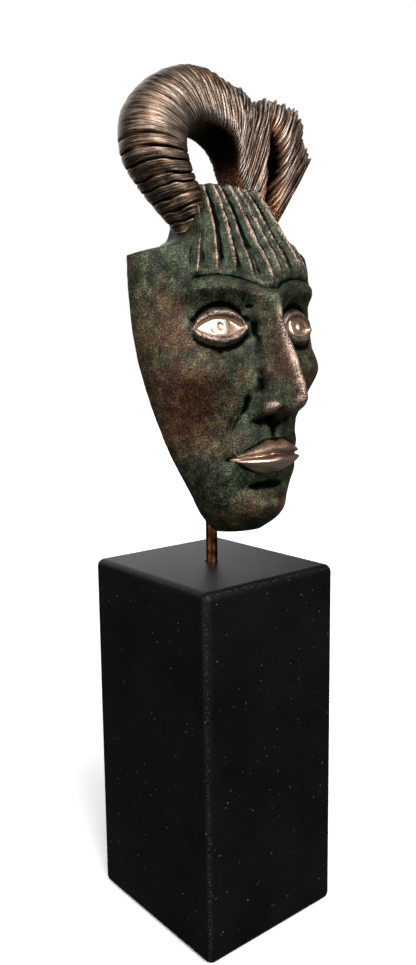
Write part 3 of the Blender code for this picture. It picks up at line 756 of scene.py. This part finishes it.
def black_painted_wood():
    """Wood under satin black paint: nearly black with a faint grain, a few pale and gold specks of dust and
    chips, and edges a little lighter, partly rubbing and partly a painted highlight."""
    material, tree, shader, place = new_finish("black_painted_wood")
    edge_wear_and_painted_highlight = add_node(tree, "ShaderNodeAttribute", attribute_name="edge_wear_and_painted_highlight").outputs["Fac"]
    tooth = add_node(tree, "ShaderNodeTexNoise", {"Vector": place, "Scale": per_mm(0.8), "Detail": 3.0,
                                                  "Roughness": 0.65}).outputs["Fac"]
    cloud = add_node(tree, "ShaderNodeTexNoise", {"Vector": place, "Scale": per_mm(30),
                                                  "Detail": 5.0}).outputs["Fac"]
    colour = add_node(tree, "ShaderNodeValToRGB", {0: cloud}, stops=(
        (0.35, paint("#030304")), (0.65, paint("#08080a")),
    )).outputs[0]
    specks = add_node(tree, "ShaderNodeTexVoronoi", {"Vector": place,
                                                     "Scale": per_mm(3.2)}).outputs["Distance"]
    specks = add_node(tree, "ShaderNodeMapRange", {"Value": specks, 1: 0.12, 2: 0.06}).outputs[0]
    some = add_node(tree, "ShaderNodeTexNoise", {"Vector": place, "Scale": per_mm(5)}).outputs["Fac"]
    some = add_node(tree, "ShaderNodeMapRange", {"Value": some, 1: 0.52, 2: 0.62}).outputs[0]
    specks = add_node(tree, "ShaderNodeMath", {0: specks, 1: some}, operation="MULTIPLY").outputs[0]
    # Lighter edges: partly rubbing, partly painted highlight
    rough = add_node(tree, "ShaderNodeMapRange", {"Value": tooth, 1: 0.5, 2: 0.62}).outputs[0]
    wear_and_painted_highlight = add_node(tree, "ShaderNodeMath", {0: edge_wear_and_painted_highlight, 1: rough}, operation="MULTIPLY").outputs[0]
    for share, coat in ((specks, paint("#6b6048")), (wear_and_painted_highlight, paint("#2c2c2e"))):
        colour = add_node(tree, "ShaderNodeMix", {0: share, 6: colour, 7: coat}, data_type="RGBA").outputs[2]
    tree.links.new(colour, shader.inputs["Base Color"])
    gloss = add_node(tree, "ShaderNodeMapRange", {"Value": tooth, 1: 0.3, 2: 0.7,
                                                  3: 0.36, 4: 0.52}).outputs[0]
    tree.links.new(gloss, shader.inputs["Roughness"])
    shader.inputs["Specular IOR Level"].default_value = 0.1
    grain = add_node(tree, "ShaderNodeBump", {"Height": tooth, "Strength": 0.35,
                                              "Distance": 0.0003}).outputs[0]
    tree.links.new(grain, shader.inputs["Normal"])
    return material


def add_mask_face(material):
    """Front and hollow of the mask as one closed wall.

    Its layers lighten what stands out (partly rubbing, partly painted highlight), give the folds blue-green
    patina and painted near-black shade, give the eyes and the lower lip a polished look with a pale painted
    highlight while the upper lip is left in shade, and brown the cheeks, the nose's ridge, the chin and the
    temples' edges.
    """
    bm = new_form("rubbed_and_painted_highlight", "patina_and_painted_shade", "polish_and_painted_highlight", "brown")
    bmesh.ops.create_grid(bm, x_segments=FACE_COLUMNS, y_segments=FACE_ROWS, size=1)
    front = list(bm.verts)
    front_rim = [edge for edge in bm.edges if edge.is_boundary]
    across, up = grid_places(front)
    x, depth, height = outer_point(across * 2 - 1, up)
    set_points(front, x, depth, height)
    made = bmesh.ops.create_grid(bm, x_segments=HOLLOW_COLUMNS, y_segments=HOLLOW_ROWS, size=1)
    hollow = made["verts"]
    hollow_rim = list({edge for vert in hollow for edge in vert.link_edges if edge.is_boundary})
    back_across, back_up = grid_places(hollow)
    set_points(hollow, *hollow_point(back_across * 2 - 1, back_up))
    bmesh.ops.bridge_loops(bm, edges=front_rim + hollow_rim)
    bmesh.ops.recalc_face_normals(bm, faces=bm.faces[:])

    grid = (FACE_ROWS + 1, FACE_COLUMNS + 1)
    points = np.stack((x, -depth, height), axis=-1).reshape(*grid, 3)
    fine, close, wide = [standing_out(points, rounds)
                         for rounds in (THIN_ROUNDS, FORM_ROUNDS, FEATURE_ROUNDS)]
    side = np.abs(x)
    upper_lip = rise(-0.5, 0.5, height - lip_lines(side)[1])
    lips = lip_cover(side, height)
    # Painted highlight on the eyes and the lower lip, partly real polishing; the upper lip lies in shade and
    # is left out
    shine = np.maximum(0.85 * eye_opening(side, height), lips * (1 - 0.92 * upper_lip))
    # Lightened ridges: partly rubbing, partly painted highlight
    ridge = rise(0.1, 0.3, fine) + 0.8 * rise(0.4, 1.1, close) + 0.5 * rise(1.6, 3.2, wide)
    # Folds: blue-green patina, and painted near-black shade in the deeper ones
    fold = rise(-0.06, -0.5, close) + 0.8 * rise(-0.4, -2.6, wide)
    brown = soft_forms(BROWN_FORMS, side, height) + 0.6 * lips
    # The upper lip is kept from lightening, as it lies in shade
    ridge = ridge.ravel() * (1 - 0.8 * upper_lip * lips)
    set_layer(bm, front, "rubbed_and_painted_highlight", np.clip(ridge, 0, 1))
    set_layer(bm, front, "patina_and_painted_shade", np.clip(fold.ravel(), 0, 1))
    set_layer(bm, front, "polish_and_painted_highlight", shine)
    set_layer(bm, front, "brown", np.clip(brown, 0, 1))
    # The hollow gets only a little blue-green patina, below where the painted shade starts
    set_layer(bm, hollow, "patina_and_painted_shade", np.full(len(hollow), 0.3))
    return finish_piece("mask_face", bm, material, "mask")


def add_mask_crest(material):
    """The crest as a tube: a grid rolled round its section and closed at both ends.

    Its layers paint shade into the cracks, the hole's inner side and the pocket's top, paint a copper
    highlight low on the hole's wall, and lighten the ridges where hands reach them, partly rubbing and partly
    painted highlight.
    """
    bm = new_form("rubbed_and_painted_highlight", "patina_and_painted_shade", "copper", "pale")
    straw = bm.verts.layers.float_vector.new("straw")
    bmesh.ops.create_grid(bm, x_segments=CREST_STEPS, y_segments=CREST_SIDES, size=1)
    places = list(bm.verts)
    length, round_section = grid_places(places)
    step, turn = length * LAST_STATION, round_section * 2 * np.pi
    x, depth, height = crest_point(step, turn)
    set_points(places, x, depth, height)

    points = np.stack((x, -depth, height), axis=-1).reshape(CREST_SIDES + 1, CREST_STEPS + 1, 3)
    points = points.transpose(1, 0, 2)
    close = standing_out(points[:, :-1], CREST_ROUNDS, wrap=True)
    close = np.concatenate((close, close[:, :1]), axis=1).T.ravel()
    c, s = section(turn)
    hollowed = in_pocket(step, c, s)
    # Painted shade at the pocket's top
    deep = rise(0.2, 0.5, hollowed) * rise(-0.45, -0.1, c)
    # The hole's inner wall, painted near-black shade
    inside = rise(-0.82, -0.94, c) * rise(5.5, 7.5, step)
    # Painted copper highlight low on the hole's inner wall
    painted_glint = inside * bell(step, 11.5, 0.7) * bell(s, 0.2, 0.7)
    low = rise(13.0, 14.2, step) * bell(c, POCKET["across"] - 0.4, 0.4) * rise(0.0, 0.5, s)
    # Painted shade in the cracks and grooves
    groove = np.maximum(rise(-0.04, -0.35, close), rise(-0.15, -0.7, crest_creases(step, turn)))
    # Lightened ridges, more where hands reach them: partly rubbing, partly painted highlight
    handled = np.clip(0.3 + rise(0.7, -0.4, c) * rise(3.5, 5.5, step) + rise(8, 10, step), 0, 1)
    set_layer(bm, places, "rubbed_and_painted_highlight", rise(0.02, 0.3, close) * handled * (1 - inside))
    # All the painted shade: cracks, pocket's top and the hole's wall, lifted where the painted highlight lies
    dark = np.maximum(groove, deep) + inside * (0.97 - painted_glint)
    set_layer(bm, places, "patina_and_painted_shade", np.clip(dark, 0, 1))
    # Copper of the pocket's rough casting, and on the hole's wall the colour of the painted highlight
    set_layer(bm, places, "copper", np.clip(1.5 * hollowed + 0.8 * low + inside, 0, 1))
    # A pale patch of the bronze at the horn's root, and the painted highlight on the hole's wall
    set_layer(bm, places, "pale", rise(1.4, 0.9, step) + painted_glint)
    for vert, at_step, at_c, at_s in zip(places, step, c, s):
        vert[straw] = (STREAKS_ALONG * at_step, STREAKS_ACROSS * at_c, STREAKS_ACROSS * at_s)

    bmesh.ops.remove_doubles(bm, verts=bm.verts[:], dist=1e-6)
    bmesh.ops.holes_fill(bm, edges=[edge for edge in bm.edges if edge.is_boundary], sides=0)
    bmesh.ops.recalc_face_normals(bm, faces=bm.faces[:])
    return finish_piece("mask_crest", bm, material, "mask")


def rod_top():
    """The rod's top end: where its axis meets the hollow's wall behind the nose."""
    wall = along(DEPTHS, BOSS_HEIGHT) + soft_forms(HOLLOW_FORMS, 0, BOSS_HEIGHT)
    return mask_matrix() @ Vector((0, MASK_WALL - wall * MODULE, BOSS_HEIGHT * MODULE))


def add_mask_boss(material):
    """The boss inside the mask: a turned ring with rounded lips round the rod's end."""
    bore, outside = ROD_RADIUS + ROD_CLEARANCE, ROD_RADIUS + ROD_CLEARANCE + BOSS_WALL
    lip = BOSS_WALL / 3
    bm = new_form("patina_and_painted_shade")
    profile = [(bore, BOSS_ROOT), (bore, lip - BOSS_SOCKET), (bore + lip, -BOSS_SOCKET),
               (outside - lip, -BOSS_SOCKET), (outside, lip - BOSS_SOCKET), (outside * 1.02, BOSS_ROOT / 3),
               (outside * 1.25, BOSS_ROOT * 0.8)]
    verts = [bm.verts.new((radius, 0, place)) for radius, place in profile]
    edges = [bm.edges.new(pair) for pair in zip(verts, verts[1:] + verts[:1])]
    bmesh.ops.spin(bm, geom=verts + edges, axis=(0, 0, 1), cent=(0, 0, 0), steps=BOSS_SIDES,
                   angle=2 * math.pi, use_merge=True)
    bmesh.ops.recalc_face_normals(bm, faces=bm.faces[:])
    place = Matrix.Translation(rod_top()) @ Matrix.Rotation(ROD_LEAN, 4, "X")
    bmesh.ops.transform(bm, matrix=place, verts=bm.verts[:])
    # Only a little blue-green patina, below where the painted shade starts
    set_layer(bm, bm.verts, "patina_and_painted_shade", [0.2] * len(bm.verts))
    return finish_piece("mask_boss", bm, material, "mask")


def add_rod(material):
    """The rod: a circle drawn up out of the plinth, spun round the bend and drawn on to the boss."""
    top = rod_top()
    corner_height = top.z + top.y / math.tan(ROD_LEAN)
    bend_start = corner_height - ROD_BEND_RADIUS * math.tan(ROD_LEAN / 2)
    bm = bmesh.new()
    ring = bmesh.ops.create_circle(bm, segments=ROD_SIDES, radius=ROD_RADIUS * ROD_FOOT_SHARE,
                                   matrix=Matrix.Translation((0, 0, ROD_LOW.z)))["verts"]
    levels = (ROD_LOW.z + ROD_FOOT_BREAK, PLINTH_HIGH.z + 0.002, bend_start)
    edges = list(bm.edges)
    bmesh.ops.contextual_create(bm, geom=ring)
    for level in levels:
        made = bmesh.ops.extrude_edge_only(bm, edges=edges)["geom"]
        ring = [item for item in made if isinstance(item, bmesh.types.BMVert)]
        edges = [item for item in made if isinstance(item, bmesh.types.BMEdge)]
        for vert in ring:
            flat = Vector((vert.co.x, vert.co.y, 0)).normalized() * ROD_RADIUS
            vert.co = (flat.x, flat.y, level)
    bent = bmesh.ops.spin(bm, geom=ring + edges, axis=(1, 0, 0), cent=(0, -ROD_BEND_RADIUS, bend_start),
                          steps=ROD_BEND_STEPS, angle=ROD_LEAN)["geom_last"]
    edges = [item for item in bent if isinstance(item, bmesh.types.BMEdge)]
    made = bmesh.ops.extrude_edge_only(bm, edges=edges)["geom"]
    ring = [item for item in made if isinstance(item, bmesh.types.BMVert)]
    way = Vector((0, -math.sin(ROD_LEAN), math.cos(ROD_LEAN)))
    centre = sum((vert.co for vert in ring), Vector()) / len(ring)
    bmesh.ops.translate(bm, vec=way * (top - centre).dot(way), verts=ring)
    bmesh.ops.contextual_create(bm, geom=ring)
    bmesh.ops.recalc_face_normals(bm, faces=bm.faces[:])
    rod = finish_piece("rod_drawn", bm, material, "rod")
    rod.data.set_sharp_from_angle(angle=math.radians(40))
    return rod


def add_plinth(material):
    """The block with rounded edges, and the hole for the rod with a slightly broken rim."""
    size = PLINTH_HIGH - PLINTH_LOW
    bm = new_form("edge_wear_and_painted_highlight")
    bmesh.ops.create_cube(bm, size=1)
    bmesh.ops.scale(bm, vec=size, verts=bm.verts[:])
    bmesh.ops.translate(bm, vec=(PLINTH_LOW + PLINTH_HIGH) / 2, verts=bm.verts[:])
    bmesh.ops.bevel(bm, geom=bm.edges[:], offset=PLINTH_EDGE_RADIUS, offset_type="OFFSET", affect="EDGES",
                    segments=8, profile=0.5, material=-1, clamp_overlap=True)
    top = max(bm.faces, key=lambda face: face.calc_center_median().z)
    mouth = list(top.edges)
    bmesh.ops.delete(bm, geom=[top], context="FACES_ONLY")
    radius = ROD_RADIUS + ROD_CLEARANCE
    rings = ((radius + HOLE_RIM_BREAK, 0), (radius, -HOLE_RIM_BREAK),
             (radius, ROD_LOW.z - ROD_CLEARANCE - PLINTH_HIGH.z))
    circle = None
    for ring_radius, drop in rings:
        centre = Matrix.Translation((0, 0, PLINTH_HIGH.z + drop))
        verts = bmesh.ops.create_circle(bm, segments=HOLE_SIDES, radius=ring_radius, matrix=centre)["verts"]
        edges = list({edge for vert in verts for edge in vert.link_edges})
        bmesh.ops.bridge_loops(bm, edges=mouth + edges)
        mouth, circle = edges, verts
    bmesh.ops.contextual_create(bm, geom=circle)
    bmesh.ops.recalc_face_normals(bm, faces=bm.faces[:])
    # Lighter rounded edges, partly rubbing and partly painted highlight
    edge_wear_and_painted_highlight = []
    for vert in bm.verts:
        # The second smallest gap to a side is small only where two sides meet
        gaps = sorted((size.x / 2 - abs(vert.co.x), size.y / 2 - abs(vert.co.y),
                       min(PLINTH_HIGH.z - vert.co.z, vert.co.z - PLINTH_LOW.z)))
        edge_wear_and_painted_highlight.append(rise(PLINTH_EDGE_RADIUS * 0.6, PLINTH_EDGE_RADIUS * 0.25, gaps[1]))
    set_layer(bm, bm.verts, "edge_wear_and_painted_highlight", edge_wear_and_painted_highlight)
    plinth = finish_piece("plinth_block", bm, material, "plinth")
    plinth.data.set_sharp_from_angle(angle=math.radians(35))
    return plinth


def add_floor():
    """A plain pale floor. It takes shadows but throws no light up, so undersides stay dark."""
    bm = bmesh.new()
    bmesh.ops.create_circle(bm, cap_ends=True, segments=96, radius=FLOOR_RADIUS)
    mesh = bpy.data.meshes.new("floor")
    bm.to_mesh(mesh)
    bm.free()
    material, _, shader, _ = new_finish("pale_matt_paper")
    shader.inputs["Base Color"].default_value = paint("#f4f3f1")
    shader.inputs["Roughness"].default_value = 0.9
    mesh.materials.append(material)
    floor = bpy.data.objects.new("floor", mesh)
    bpy.context.scene.collection.objects.link(floor)
    floor.visible_diffuse = False
    floor.visible_glossy = False


def add_lamp(name, way, strength, spread):
    """A soft studio lamp, far off, that shines along the way given."""
    light = bpy.data.lights.new(name, "SUN")
    light.energy = strength
    light.angle = math.radians(spread)
    lamp = bpy.data.objects.new(name, light)
    lamp.rotation_euler = Vector(way).to_track_quat("-Z", "Y").to_euler()
    lamp.location = -2 * Vector(way)
    bpy.context.scene.collection.objects.link(lamp)


def add_light():
    """A dim grey room with a pale wall in view, and soft lamps."""
    world = bpy.data.worlds.new("studio")
    bpy.context.scene.world = world
    world.use_nodes = True
    tree = world.node_tree
    back = tree.nodes["Background"]
    back.inputs["Color"].default_value = (1, 1, 1, 1)
    seen = add_node(tree, "ShaderNodeLightPath").outputs["Is Camera Ray"]
    strength = add_node(tree, "ShaderNodeMapRange", {"Value": seen, 3: WALL_GIVEN, 4: WALL_SEEN}).outputs[0]
    tree.links.new(strength, back.inputs["Strength"])
    for lamp in LAMPS:
        add_lamp(*lamp)


def add_camera():
    """The camera at the photograph's angle."""
    data = bpy.data.cameras.new("camera")
    data.lens = CAMERA_LENS
    data.sensor_width = CAMERA_SENSOR
    data.clip_start = 0.01
    camera = bpy.data.objects.new("camera", data)
    turn = Matrix.Rotation(CAMERA_TURN, 4, "Z")
    pitch = Matrix.Rotation(CAMERA_RISE, 4, "X")
    roll = Matrix.Rotation(CAMERA_ROLL, 4, "Z")
    camera.matrix_world = Matrix.Translation(CAMERA_PLACE) @ turn @ pitch @ roll
    bpy.context.scene.collection.objects.link(camera)
    bpy.context.scene.camera = camera


patina = patinated_cast_bronze()
add_mask_face(patina)
add_mask_crest(brown_cast_bronze())
add_mask_boss(patina)
add_rod(drawn_copper_rod())
add_plinth(black_painted_wood())
add_floor()
add_light()
add_camera()
bpy.context.scene.view_settings.view_transform = "Standard"
